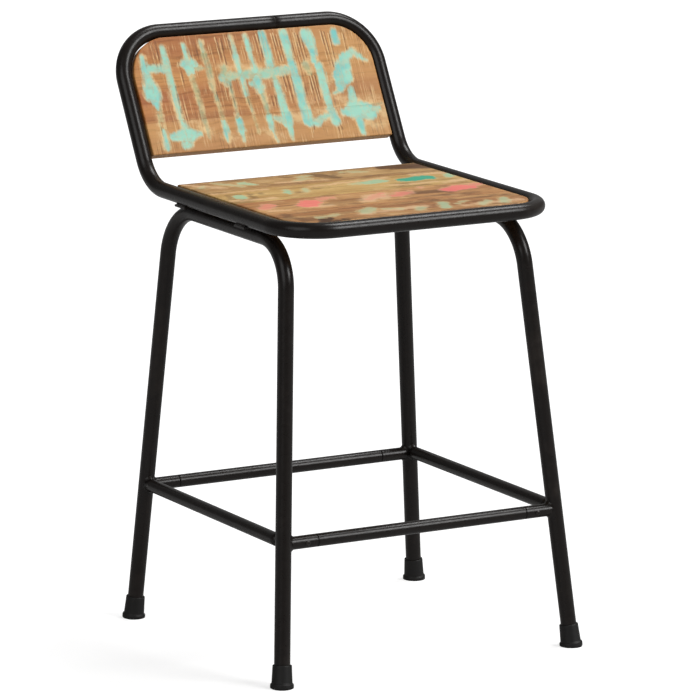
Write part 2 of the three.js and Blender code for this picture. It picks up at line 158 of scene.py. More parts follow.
def on_back(x, along, ahead=0.0):
    """A point of the backrest: across, along the uprights and ahead of their plane."""
    return Vector((x, SEAT_CORNER_Y, SEAT_RAIL_Z)) + BACK_UP * along + BACK_FORWARD * ahead


def on_leg(side, end, z):
    """A point of a leg's axis."""
    share = z / LEG_RAIL_Z
    top_y, foot_y = LEG_Y[end]
    x = FOOT_HALF_WIDTH + (LEG_RAIL_HALF_WIDTH - FOOT_HALF_WIDTH) * share
    return Vector((SIDES[side] * x, FRONT_Y + foot_y + (top_y - foot_y) * share, z))


# ---- meshes ----


def make_object(mesh, material, nodes=()):
    """Puts a finished piece in the scene; it stands in for the CAD nodes given."""
    mesh.materials.append(material)
    for polygon in mesh.polygons:
        polygon.use_smooth = True
    piece = bpy.data.objects.new(mesh.name, mesh)
    bpy.context.scene.collection.objects.link(piece)
    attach(piece, "root")
    if nodes:
        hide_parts(*nodes)
    return piece


def ring_mesh(name, rings, closed=False):
    """A closed surface through rings of points, or single points; open ends are capped."""
    bm = bmesh.new()
    rows = [[bm.verts.new(point) for point in ring] for ring in rings]
    count = max(len(row) for row in rows)
    for lower, upper in zip(rows, [*rows[1:], rows[0]] if closed else rows[1:]):
        for i in range(count):
            j = (i + 1) % count
            quad = [row[k % len(row)] for row, k in ((lower, i), (lower, j), (upper, j), (upper, i))]
            bm.faces.new(list(dict.fromkeys(quad)))
    if not closed and len(rows[0]) > 1:
        bm.faces.new(list(reversed(rows[0])))
        bm.faces.new(rows[-1])
    bmesh.ops.recalc_face_normals(bm, faces=bm.faces)
    mesh = bpy.data.meshes.new(name)
    bm.to_mesh(mesh)
    bm.free()
    return mesh


def ring_points(centre, first, second, radius, count):
    """A circle of points in the plane of two unit vectors."""
    angles = [2 * math.pi * k / count for k in range(count)]
    return [centre + (first * math.cos(a) + second * math.sin(a)) * radius for a in angles]


def sweep(points, radius_at, segments=40):
    """Rings of a tube along points, carried without twist. radius_at(index) gives each radius."""
    neighbours = zip([points[0], *points[:-1]], [*points[1:], points[-1]])
    ways = [(after - before).normalized() for before, after in neighbours]
    normal = ways[0].orthogonal().normalized()
    rings = []
    for i, (point, way) in enumerate(zip(points, ways)):
        normal = (normal - way * normal.dot(way)).normalized()
        rings.append(ring_points(point, normal, way.cross(normal), radius_at(i), segments))
    return rings


def bent_path(corners, radii):
    """Points along straight runs joined by circular bends."""
    points = [corners[0].copy()]

    def run_to(end):
        start = points[-1]
        count = max(1, round((end - start).length / RUN_STEP))
        points.extend(start.lerp(end, (k + 1) / count) for k in range(count))

    for before, corner, after, radius in zip(corners, corners[1:], corners[2:], radii):
        incoming = (corner - before).normalized()
        outgoing = (after - corner).normalized()
        turn = incoming.angle(outgoing)
        axis = incoming.cross(outgoing).normalized()
        start = corner - incoming * radius * math.tan(turn / 2)
        centre = start + axis.cross(incoming) * radius
        run_to(start)
        count = math.ceil(turn / BEND_STEP)
        for k in range(1, count + 1):
            spoke = Matrix.Rotation(turn * k / count, 3, axis) @ (start - centre)
            points.append(centre + spoke)
    run_to(corners[-1])
    return points


def turned(name, profile, start, direction, segments=64):
    """A lathe piece: (radius, height) pairs from one end of the axis to the other."""
    direction = direction.normalized()
    side = direction.orthogonal().normalized()
    other = direction.cross(side)
    rings = []
    for radius, height in profile:
        centre = start + direction * height
        rings.append(ring_points(centre, side, other, radius, segments if radius > 1e-6 else 1))
    return ring_mesh(name, rings)


def lip(height, end):
    """Profile points on a stretcher's rounded edge, from its side to `end` degrees."""
    angles = [math.radians(end * k / 5) for k in range(6)]
    flat, r = STRETCHER_RADIUS - STRETCHER_LIP, STRETCHER_LIP
    return [(flat + r * math.cos(a), height + r * math.sin(a)) for a in angles]


# ---- materials ----


class Shader:
    """A node material under construction."""

    def __init__(self, name):
        self.material = bpy.data.materials.new(name)
        self.material.use_nodes = True
        self.tree = self.material.node_tree
        self.surface = self.tree.nodes["Principled BSDF"]
        self.position = self.add("ShaderNodeTexCoord").outputs["Object"]

    def add(self, kind, inputs=None, **settings):
        node = self.tree.nodes.new(kind)
        for key, value in settings.items():
            setattr(node, key, value)
        for key, value in (inputs or {}).items():
            self.set(node.inputs[key], value)
        return node

    def set(self, socket, value):
        if isinstance(value, bpy.types.NodeSocket):
            self.tree.links.new(value, socket)
        else:
            socket.default_value = value

    def math(self, operation, a, b=0.0, clamp=False):
        return self.add("ShaderNodeMath", {0: a, 1: b}, operation=operation, use_clamp=clamp).outputs[0]

    def times(self, a, b):
        return self.math("MULTIPLY", a, b)

    def mapping(self, vector, kind="POINT", **inputs):
        named = {name.capitalize(): value for name, value in inputs.items()}
        return self.add("ShaderNodeMapping", {"Vector": vector, **named}, vector_type=kind).outputs[0]

    def noise(self, vector, scale, detail, roughness, output="Fac"):
        inputs = {"Vector": vector, "Scale": scale, "Detail": detail, "Roughness": roughness}
        return self.add("ShaderNodeTexNoise", inputs).outputs[output]

    def smooth(self, value, low, high, to_low=0.0, to_high=1.0):
        """A smooth step from to_low at low to to_high at high."""
        inputs = {"Value": value, "From Min": low, "From Max": high, "To Min": to_low, "To Max": to_high}
        return self.add("ShaderNodeMapRange", inputs, interpolation_type="SMOOTHSTEP").outputs[0]

    def mix(self, factor, a, b, blend="MIX"):
        node = self.add("ShaderNodeMix", data_type="RGBA", blend_type=blend)
        self.set(node.inputs["Factor"], factor)
        colours = [socket for socket in node.inputs if socket.type == "RGBA"]
        self.set(colours[0], a)
        self.set(colours[1], b)
        return next(socket for socket in node.outputs if socket.type == "RGBA")

    def vector(self, operation, a, b):
        return self.add("ShaderNodeVectorMath", {0: a, **b}, operation=operation).outputs[0]

    def distorted(self, vector, scale, amount):
        """The vector shifted by up to half `amount` of noise each way."""
        drift = self.noise(vector, scale, 3.0, 0.6, "Color")
        centred = self.vector("SUBTRACT", drift, {1: (0.5, 0.5, 0.5)})
        return self.vector("ADD", vector, {1: self.vector("SCALE", centred, {"Scale": amount})})

    def attribute(self, name):
        """A value stored on the mesh."""
        return self.add("ShaderNodeAttribute", attribute_name=name).outputs["Fac"]

    def bump(self, height, strength, distance, normal=None):
        inputs = {"Height": height, "Strength": strength, "Distance": distance}
        below = {} if normal is None else {"Normal": normal}
        return self.add("ShaderNodeBump", {**inputs, **below}).outputs[0]

    def finished(self, **inputs):
        """The material, with its surface's own inputs linked or set."""
        for name, value in inputs.items():
            self.set(self.surface.inputs[name.replace("_", " ")], value)
        return self.material


def srgb(*display):
    """A linear colour from 0-255 display values."""
    shares = [value / 255 for value in display]
    linear = [s / 12.92 if s <= 0.04045 else ((s + 0.055) / 1.055) ** 2.4 for s in shares]
    return (*linear, 1.0)


def enamel():
    """Semi-gloss black powder coat: a fine orange peel, faint dust and rubbed lighter spots."""
    s = Shader("black_enamel")
    peel = s.noise(s.position, 900, 3.0, 0.6)
    waves = s.noise(s.position, 140, 2.0, 0.5)
    dust = s.smooth(s.noise(s.position, 60, 6.0, 0.7), 0.5, 0.72)
    rubbed = s.smooth(s.noise(s.position, 11, 5.0, 0.65), 0.56, 0.72)
    colour = s.mix(s.times(dust, 0.4), srgb(23, 19, 17), srgb(38, 33, 30))
    colour = s.mix(s.times(rubbed, 0.35), colour, srgb(50, 43, 38))
    rough = s.math("ADD", s.smooth(waves, 0.3, 0.7, 0.27, 0.33), s.times(rubbed, 0.1))
    normal = s.bump(waves, 0.035, 0.0006, s.bump(peel, 0.03, 0.0002))
    return s.finished(Base_Color=colour, Roughness=rough, Normal=normal, Specular_IOR_Level=0.22)


def dark_steel():
    """Black oxide fasteners with paler worn edges."""
    s = Shader("dark_screws")
    wear = s.smooth(s.noise(s.position, 700, 4.0, 0.6), 0.5, 0.7)
    colour = s.mix(s.times(wear, 0.5), srgb(48, 45, 43), srgb(96, 92, 88))
    rough = s.smooth(wear, 0, 1, 0.34, 0.46)
    return s.finished(Base_Color=colour, Roughness=rough, Metallic=0.7, Normal=s.bump(wear, 0.15, 0.0002))


def rubber():
    """Matte black rubber with grey scuffs and a little dust low down."""
    s = Shader("foot_rubber")
    grain = s.noise(s.position, 1400, 3.0, 0.6)
    scuff = s.smooth(s.noise(s.mapping(s.position, scale=(1, 1, 3)), 160, 6.0, 0.7), 0.52, 0.72)
    height = s.add("ShaderNodeSeparateXYZ", {0: s.position}).outputs["Z"]
    low = s.smooth(height, 0.0, 12 * MM, 0.55, 0.0)
    amount = s.math("MULTIPLY", scuff, s.math("ADD", low, 0.25), clamp=True)
    colour = s.mix(amount, srgb(15, 14, 13), srgb(42, 39, 37))
    rough, normal = s.smooth(scuff, 0, 1, 0.55, 0.8), s.bump(grain, 0.2, 0.0003)
    return s.finished(Base_Color=colour, Roughness=rough, Normal=normal, Specular_IOR_Level=0.3)


class Wood(Shader):
    """Lacquered old wood in board coordinates: x along the grain, y across it, in metres."""

    def __init__(self, name, origin, rotation, seed):
        super().__init__(name)
        self.board = self.mapping(self.position, location=origin, rotation=rotation, kind="TEXTURE")
        self.seeded = self.mapping(self.board, location=(seed, seed * 0.7, seed * 0.3))
        self.heights = []

    def base(self, pale, middle, dark):
        """Colour of the bare wood: broad bands, growth rings and fine pores."""
        wavy = self.distorted(self.seeded, 9, 0.02)
        bands = self.noise(self.mapping(wavy, scale=(0.35, 3.2, 3.2)), 9, 3.0, 0.55)
        rings = self.noise(self.mapping(wavy, scale=(0.6, 14, 14)), 12, 5.0, 0.65)
        pores = self.noise(self.mapping(self.seeded, scale=(1, 18, 18)), 60, 3.0, 0.7)
        colour = self.mix(self.smooth(bands, 0.3, 0.68), pale, middle)
        colour = self.mix(self.smooth(rings, 0.48, 0.72, 0.0, 0.6), colour, dark)
        colour = self.mix(self.smooth(pores, 0.52, 0.74, 0.0, 0.4), colour, dark)
        self.grain = self.math("ADD", rings, self.times(pores, 0.6))
        self.heights.append((self.grain, 0.25, 0.0004))
        return colour

    def left_paint(self, name, edge, ragged, scale, stretch=1.0, spread=0.0):
        """Where old paint is left, from the stored distance inside its outline, with worn, ragged edges."""
        inside = self.attribute(name)
        coarse = self.noise(self.mapping(self.seeded, scale=(1, stretch, 1)), scale, 3.0, 0.6)
        fine = self.noise(self.mapping(self.seeded, scale=(1, stretch * 0.6, 1)), scale * 4, 4.0, 0.7)
        drift = self.times(self.math("SUBTRACT", coarse, 0.5), ragged * 2)
        bristle = self.times(self.math("SUBTRACT", fine, 0.5), ragged * 1.1)
        edge_field = self.math("ADD", inside, self.math("ADD", drift, bristle))
        return self.smooth(edge_field, -edge - spread, edge - spread)

    def over(self, colour, tint, *shares):
        """The colour covered with a tint as far as the product of the shares says."""
        amount = shares[0]
        for share in shares[1:]:
            amount = self.times(amount, share)
        return self.mix(amount, colour, tint)

    def lacquered(self, colour, roughness_low, roughness_high):
        rough = self.smooth(self.grain, 0.5, 1.1, roughness_low, roughness_high)
        normal = None
        for height, strength, distance in self.heights:
            normal = self.bump(height, strength, distance, normal)
        return self.finished(Base_Color=colour, Roughness=rough, Normal=normal, Specular_IOR_Level=0.25)


TURQUOISE = srgb(148, 204, 184)
TEAL = srgb(112, 188, 182)
SAGE = srgb(142, 156, 112)
CREAM = srgb(218, 188, 136)

# Paint left on the backrest by the old saw marks, as brush strokes (x, y, x, y, width at each end,
# strength) in millimetres, y along the uprights.
BACKREST_PAINT = [
    (-174, 186, -173, 150, 6, 13, 1), (-173, 154, -171, 138, 13, 22, 1), (-171, 138, -170, 128, 23, 24, 1),
    (-170, 128, -169, 108, 20, 5, 1),
    (-171, 110, -171, 72, 2, 2, 0.5), (-166, 110, -166, 72, 2, 2, 0.5), (-168, 76, -169, 50, 6, 9, 1),
    (-168, 168, -142, 166, 10, 13, 0.8), (-139, 199, -139, 180, 6, 10, 0.9),
    (-139, 180, -137, 92, 10, 7, 0.8),
    (-137, 92, -133, 78, 4, 9, 0.9), (-157, 65, -132, 66, 7, 22, 1), (-130, 66, -112, 66, 23, 4, 1),
    (-139, 52, -134, 52, 12, 10, 1),
    (-105, 199, -104, 178, 4, 9, 0.9), (-104, 168, -104, 158, 24, 12, 1), (-116, 170, -94, 166, 6, 8, 0.9),
    (-96, 164, -82, 163, 6, 4, 0.6), (-103, 155, -100, 60, 8, 4, 0.45),
    (-77, 202, -76, 182, 4, 6, 0.7), (-76, 182, -74, 128, 10, 7, 0.45), (-74, 126, -71, 84, 3, 5, 0.5),
    (-71, 82, -71, 66, 5, 9, 1.1), (-71, 66, -71, 52, 9, 3, 1),
    (-50, 160, -50, 137, 12, 10, 0.6), (-48, 137, -47, 84, 3, 4, 0.5), (-46, 82, -46, 66, 7, 11, 1.1),
    (-46, 66, -45, 52, 10, 4, 1),
    (-28, 206, -27, 176, 4, 6, 0.8), (-27, 176, -25, 118, 8, 7, 0.9), (-24, 116, -20, 62, 2.5, 2.5, 0.5),
    (-56, 146, -44, 148, 12, 16, 0.7), (-40, 149, 0, 147, 8, 15, 0.7), (0, 147, 50, 150, 15, 12, 0.75),
    (-12, 134, 2, 128, 8, 10, 0.8),
    (-4, 206, -3, 184, 5, 9, 0.9), (-3, 184, -2, 150, 6, 8, 0.9), (-2, 150, -1, 122, 14, 10, 1),
    (0, 122, 2, 84, 5, 5, 0.6), (2, 82, 3, 66, 9, 8, 1), (3, 66, 6, 46, 6, 2, 0.9),
    (24, 207, 25, 160, 10, 12, 1.1), (25, 158, 27, 136, 9, 8, 0.7), (27, 136, 29, 98, 8, 12, 1),
    (30, 96, 30, 72, 12, 16, 1.1), (12, 80, 28, 74, 5, 16, 0.8), (31, 70, 31, 46, 9, 3, 1),
    (58, 205, 59, 160, 13, 12, 1.1), (60, 158, 62, 98, 12, 14, 1), (62, 96, 64, 72, 15, 18, 1.1),
    (62, 70, 76, 67, 12, 9, 0.9), (76, 70, 100, 78, 8, 6, 0.8),
    (95, 201, 97, 192, 17, 19, 1), (97, 192, 99, 172, 19, 11, 1.1), (98, 174, 97, 160, 9, 8, 0.9),
    (82, 155, 84, 145, 12, 10, 0.4),
    (102, 152, 103, 122, 12, 13, 1), (103, 122, 103, 86, 12, 9, 0.9), (104, 82, 107, 68, 10, 13, 1.1),
    (140, 200, 140, 187, 11, 11, 1.1),
    (146, 162, 163, 169, 8, 11, 1), (163, 169, 172, 162, 10, 9, 1), (172, 160, 182, 155, 6, 1.5, 1),
    (146, 160, 137, 136, 17, 31, 1.05), (137, 136, 126, 114, 29, 9, 1), (126, 113, 114, 109, 6, 2, 0.7),
    (144, 114, 145, 90, 8, 14, 1), (124, 80, 144, 80, 8, 28, 0.9), (144, 82, 164, 78, 29, 25, 1),
    (164, 78, 182, 82, 24, 6, 0.8), (146, 70, 147, 48, 14, 8, 1), (146, 86, 188, 88, 4, 2, 0.3),
]
# Where the cream undercoat shows round the paint, in the same form but without a strength.
BACKREST_CREAM = [
    (24, 82, 60, 80, 12, 22), (60, 80, 104, 74, 22, 20), (-52, 154, 50, 150, 20, 18),
    (124, 92, 180, 82, 24, 34), (134, 164, 108, 112, 10, 14), (80, 150, 96, 160, 16, 20),
    (-122, 84, -92, 64, 10, 6), (-172, 112, -172, 70, 7, 8), (2, 130, 6, 100, 16, 8),
    (62, 130, 66, 100, 18, 20), (-8, 60, 10, 52, 10, 14), (150, 60, 182, 56, 10, 16),
    (-80, 60, -40, 54, 8, 12), (27, 160, 29, 120, 16, 14), (-140, 130, -136, 84, 15, 12),
]
# Cream scratches beside the strokes, as (x, low end, high end).
SCRATCH_GROUPS = [
    (-156, 165, 206), (-150, 160, 204), (-120, 130, 175), (-52, 160, 207), (-47, 162, 206), (-33, 170, 205),
    (-49, 95, 138), (-26, 100, 130), (9, 160, 205), (14, 165, 207), (19, 172, 203), (12, 92, 116),
    (17, 94, 114), (38, 160, 206), (43, 156, 207), (47, 162, 204), (40, 118, 142), (45, 100, 146),
    (51, 112, 140), (74, 160, 205), (79, 158, 204), (84, 164, 200), (80, 96, 142), (86, 92, 146),
    (90, 98, 138), (119, 150, 207), (124, 146, 203), (129, 152, 200), (112, 46, 62), (107, 46, 60),
    (-173, 60, 84), (-72, 100, 132), (-136, 96, 140), (64, 46, 64), (67, 52, 70), (152, 170, 200),
]

# Old paint and marks on the seat, in the same form, y back from the front seat rail.
SEAT_TURQUOISE = [
    (-162, 224, -158, 234, 20, 16, 0.9), (-88, 222, -78, 244, 10, 7, 0.9), (-60, 220, -48, 244, 5, 4, 0.5),
    (26, 242, 40, 243, 12, 20, 0.5), (42, 243, 72, 246, 20, 22, 0.9), (108, 236, 144, 242, 24, 28, 1.5),
    (178, 230, 186, 250, 12, 12, 0.9), (-106, 318, -98, 300, 18, 7, 0.8), (-176, 312, -168, 320, 10, 8, 0.4),
    (-10, 322, 4, 328, 12, 10, 0.4), (-66, 50, -46, 72, 20, 20, 0.55), (10, 34, 20, 48, 11, 11, 0.5),
    (52, 34, 64, 66, 15, 14, 0.7), (108, 32, 128, 50, 12, 12, 0.5), (142, 32, 158, 58, 12, 12, 0.6),
    (-30, 60, -10, 52, 8, 10, 0.3), (80, 50, 96, 60, 8, 8, 0.3), (-140, 46, -110, 52, 10, 12, 0.25),
    (-30, 300, -8, 310, 10, 14, 0.3), (60, 330, 90, 320, 10, 12, 0.3), (-140, 330, -120, 300, 12, 14, 0.35),
]
SEAT_PINK = [
    (-172, 136, -156, 152, 17, 20, 0.9), (-110, 130, -92, 152, 28, 30, 1.3),
    (-74, 158, -56, 168, 15, 15, 0.8),
    (-12, 132, 14, 152, 12, 20, 0.65), (18, 158, 26, 164, 8, 8, 0.9), (34, 140, 56, 152, 18, 22, 0.95),
    (66, 146, 70, 160, 5, 5, 0.7), (96, 174, 100, 184, 7, 6, 0.8), (124, 144, 156, 156, 24, 30, 1.4),
    (158, 158, 186, 168, 14, 14, 0.9),
]
SEAT_DARK = [
    (-176, 64, -172, 84, 14, 14, 0.8), (-150, 16, -134, 38, 20, 22, 1.6), (-138, 15, -112, 19, 13, 13, 1.6),
    (-112, 22, -84, 18, 10, 8, 0.8),
    (-184, 70, -160, 40, 12, 26, 0.7), (-90, 12, 160, 10, 9, 7, 0.7), (-160, 52, -60, 62, 16, 10, 0.4),
    (-176, 218, -172, 236, 10, 10, 0.6), (-146, 214, -140, 240, 9, 8, 0.7), (-170, 206, -146, 208, 6, 6, 0.6),
    (-168, 246, -150, 244, 6, 6, 0.6), (-124, 232, -120, 244, 5, 4, 0.6),
    (16, 326, 32, 298, 26, 18, 0.8), (134, 338, 190, 322, 30, 44, 1.1), (-184, 350, -100, 340, 12, 8, 0.6),
    (-34, 336, -28, 328, 12, 10, 0.7),
    (-180, 346, 150, 348, 7, 8, 0.8), (56, 148, 120, 140, 18, 26, 0.9), (10, 112, 100, 116, 4, 9, 0.6),
    (-6, 78, 90, 84, 5, 7, 0.6), (110, 78, 186, 74, 8, 6, 0.6), (-150, 88, 30, 90, 3, 4, 0.6),
    (-184, 60, -186, 30, 6, 8, 0.6), (70, 192, 120, 196, 6, 9, 0.5), (-80, 124, -30, 140, 18, 26, 0.4),
]
SEAT_CREAM = [
    (-18, 126, 8, 152, 24, 28), (8, 130, 26, 158, 18, 14), (-182, 204, -124, 200, 12, 10),
    (-176, 118, -150, 112, 10, 8), (-110, 120, -80, 116, 8, 12), (-184, 262, -100, 262, 8, 6),
    (-40, 252, 90, 264, 8, 12), (-60, 300, 10, 290, 10, 8), (140, 268, 184, 262, 12, 14),
    (-80, 40, 30, 56, 10, 18), (80, 34, 170, 40, 12, 14), (-184, 340, -150, 300, 10, 16),
    (150, 196, 186, 204, 10, 14), (60, 210, 140, 206, 6, 8),
]
SEAT_MARKS = {"turquoise": SEAT_TURQUOISE, "pink": SEAT_PINK, "dark": SEAT_DARK, "cream": SEAT_CREAM}
PLANK_TONES = {
    1: ((200, 154, 100), (160, 108, 65), (72, 42, 25)),
    2: ((202, 154, 100), (168, 114, 69), (78, 44, 25)),
    3: ((206, 172, 110), (180, 140, 82), (104, 68, 35)),
    4: ((196, 160, 108), (162, 120, 74), (82, 52, 30)),
}


def backrest_wood(name, seed):
    """Brown board with turquoise paint left in vertical saw marks, cream edges and pale scratches."""
    w = Wood(name, tuple(on_back(0, 0, BACKREST_FACE)), (math.pi / 2 - BACK_LEAN, 0, 0), seed)
    colour = w.base(srgb(188, 132, 70), srgb(160, 96, 45), srgb(98, 54, 25))
    reddish = w.smooth(w.noise(w.board, 7, 2.0, 0.5), 0.42, 0.62, 0.0, 0.5)
    colour = w.over(colour, w.mix(1.0, colour, srgb(240, 216, 200), "MULTIPLY"), reddish)
    place = w.add("ShaderNodeSeparateXYZ", {0: w.board}).outputs
    # The board grows paler towards the right.
    paler_to_right = w.smooth(place["X"], -150 * MM, 170 * MM, 0.0, 0.4)
    low_board = w.smooth(place["Y"], 92 * MM, 84 * MM, 0.0, 0.5)
    colour = w.over(colour, srgb(194, 150, 92), w.math("MAXIMUM", paler_to_right, low_board))
    # Painted shade: a darker band along the joint between the two boards, on the left side only.
    off_joint = w.math("ABSOLUTE", w.math("SUBTRACT", place["Y"], 93 * MM))
    joint = w.smooth(off_joint, 2 * MM, 7 * MM, 0.3, 0.0)
    colour = w.over(colour, srgb(120, 70, 42), joint, w.smooth(place["X"], 0.0, -60 * MM))
    fine = w.mapping(w.distorted(w.board, 40, 0.0015), scale=(1, 0.03, 1))
    lines = w.noise(fine, 420, 3.0, 0.55)
    sawn = w.smooth(w.noise(w.board, 20, 3.0, 0.6), 0.42, 0.62)
    colour = w.over(colour, srgb(92, 56, 34), w.smooth(lines, 0.54, 0.66, 0.0, 0.65), sawn)
    colour = w.over(colour, CREAM, w.smooth(lines, 0.46, 0.36, 0.0, 0.6), sawn)
    worn = w.smooth(w.noise(w.board, 60, 4.0, 0.65), 0.4, 0.6, 0.15, 0.85)
    undercoat = w.left_paint("cream", edge=7.0, ragged=12.0, scale=60, stretch=0.5)
    colour = w.over(colour, CREAM, undercoat, w.times(worn, 0.75))
    colour = w.over(colour, CREAM, w.left_paint("paint", 2.2, 6.0, 120, 0.4, spread=2.0), worn)
    colour = w.over(colour, srgb(84, 50, 30), w.left_paint("groove", 0.6, 1.6, 260, 0.25), 0.7)
    colour = w.over(colour, CREAM, w.left_paint("scratch", 0.5, 1.0, 260, 0.25), 0.85)
    strength = w.attribute("paint_strength")
    patchy = w.smooth(w.noise(w.board, 80, 6.0, 0.7), 0.4, 0.6, -0.22, 0.2)
    cover = w.math("ADD", w.smooth(strength, 0.3, 1.0, 0.45, 0.95), patchy, clamp=True)
    tint = w.mix(w.smooth(strength, 0.45, 0.9), SAGE, TURQUOISE)
    pooled = w.smooth(w.noise(w.board, 28, 2.0, 0.5), 0.42, 0.62)
    tint = w.over(tint, TEAL, w.smooth(strength, 0.9, 1.1, 0.35, 1.0), pooled)
    paint = w.left_paint("paint", edge=3.2, ragged=5.6, scale=150, stretch=0.2)
    colour = w.over(colour, tint, paint, cover)
    colour = w.over(colour, srgb(190, 172, 128), w.smooth(lines, 0.42, 0.3, 0.0, 0.5), paint)
    w.heights += [(paint, 0.35, 0.0003), (lines, 0.2, 0.0003)]
    return w.lacquered(colour, 0.42, 0.6)


def seat_wood(index):
    """One plank of the seat, with its share of the old paint."""
    origin = (0, FRONT_Y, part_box("seat_plank_1")[1][2])
    w = Wood(f"seat_wood_{index}", origin, (0, 0, 0), index * 1.7)
    pale, middle, dark = (srgb(*tone) for tone in PLANK_TONES[index])
    colour = w.base(pale, middle, dark)
    blotches = w.noise(w.mapping(w.seeded, scale=(0.7, 1.4, 1)), 26, 5.0, 0.62)
    colour = w.over(colour, dark, w.smooth(blotches, 0.52, 0.7, 0.0, 0.55))
    blotches = w.noise(w.mapping(w.seeded, location=(3, 1, 0), scale=(0.6, 1.5, 1)), 30, 5.0, 0.65)
    colour = w.over(colour, srgb(222, 190, 140), w.smooth(blotches, 0.54, 0.7), 0.4)
    colour = w.over(colour, srgb(226, 188, 146), w.left_paint("cream", 5.0, 11.0, 70), 0.6)
    depth = w.smooth(w.attribute("dark_strength"), 0.3, 1.5, 0.3, 0.95)
    colour = w.over(colour, srgb(66, 38, 22), w.left_paint("dark", 4.0, 9.0, 60, stretch=1.6), depth)
    colour = w.over(colour, CREAM, w.left_paint("turquoise", 3.0, 11.0, 80, spread=3.0), 0.45)
    turquoise = w.left_paint("turquoise", 3.0, 11.0, 80)
    strength = w.attribute("turquoise_strength")
    teal = w.mix(w.smooth(strength, 0.8, 1.4), srgb(150, 200, 166), srgb(20, 162, 134))
    colour = w.over(colour, teal, turquoise, w.smooth(strength, 0.2, 1.3, 0.25, 0.92))
    colour = w.over(colour, srgb(226, 184, 150), w.left_paint("pink", 3.4, 11.0, 80, spread=3.0), 0.4)
    pink = w.left_paint("pink", 3.2, 11.0, 80)
    strength = w.attribute("pink_strength")
    rose = w.mix(w.smooth(strength, 0.7, 1.3), srgb(220, 134, 112), srgb(238, 112, 110))
    colour = w.over(colour, rose, pink, w.smooth(strength, 0.3, 1.2, 0.35, 0.76))
    w.heights.append((w.math("ADD", turquoise, pink), 0.25, 0.0003))
    return w.lacquered(colour, 0.48, 0.62)


# ---- boards ----


def distance_inside(x, y, strokes):
    """How far inside the nearest stroke each place is, in mm, and that stroke's strength, if any."""
    inside = np.full(len(x), BARE)
    strength = np.zeros(len(x))
    for x0, y0, x1, y1, width0, width1, *power in strokes:
        dx, dy = x1 - x0, y1 - y0
        share = np.clip(((x - x0) * dx + (y - y0) * dy) / (dx * dx + dy * dy), 0, 1)
        gap = np.hypot(x - x0 - share * dx, y - y0 - share * dy)
        depth = (width0 + (width1 - width0) * share) / 2 - gap
        nearer = depth > inside
        inside[nearer] = depth[nearer]
        strength[nearer] = power[0] if power else 0
    return inside, strength


def scratch_strokes():
    """Thin cream scratches, each slightly off its place, and the darker grooves beside them."""
    pale, dark = [], []
    for x, low, high in SCRATCH_GROUPS:
        lean = random.uniform(-1.5, 1.5)
        pale.append((x, low, x + lean, high, 0.8, random.uniform(1.0, 1.8)))
        beside = x + random.uniform(1.8, 2.8)
        start, stop = low + random.uniform(0, 8), high - random.uniform(0, 6)
        dark.append((beside, start, beside + lean, stop, 1.2, 1.6))
    return pale, dark


def softened(distance, radius):
    """How far a rounded edge has dropped at a distance in from the side."""
    short = np.clip(radius - distance, 0, radius)
    return radius - np.sqrt(radius**2 - short**2)


def lines_across(low, high, low_edge, high_edge, pitch):
    """Grid lines between two sides, closer over their rounded edges."""
    middle = np.linspace(low + low_edge, high - high_edge, max(2, round((high - low) / pitch)))
    start = [low + low_edge * step for step in EDGE_STEPS]
    end = [high - high_edge * step for step in reversed(EDGE_STEPS)]
    return np.array([*start, *middle[1:-1], *end])


def corner_inset(radius, distance):
    """How far a rounded corner of the outline stands in, at a distance from the end."""
    return radius - np.sqrt(np.maximum(radius**2 - np.clip(radius - distance, 0, None) ** 2, 0))


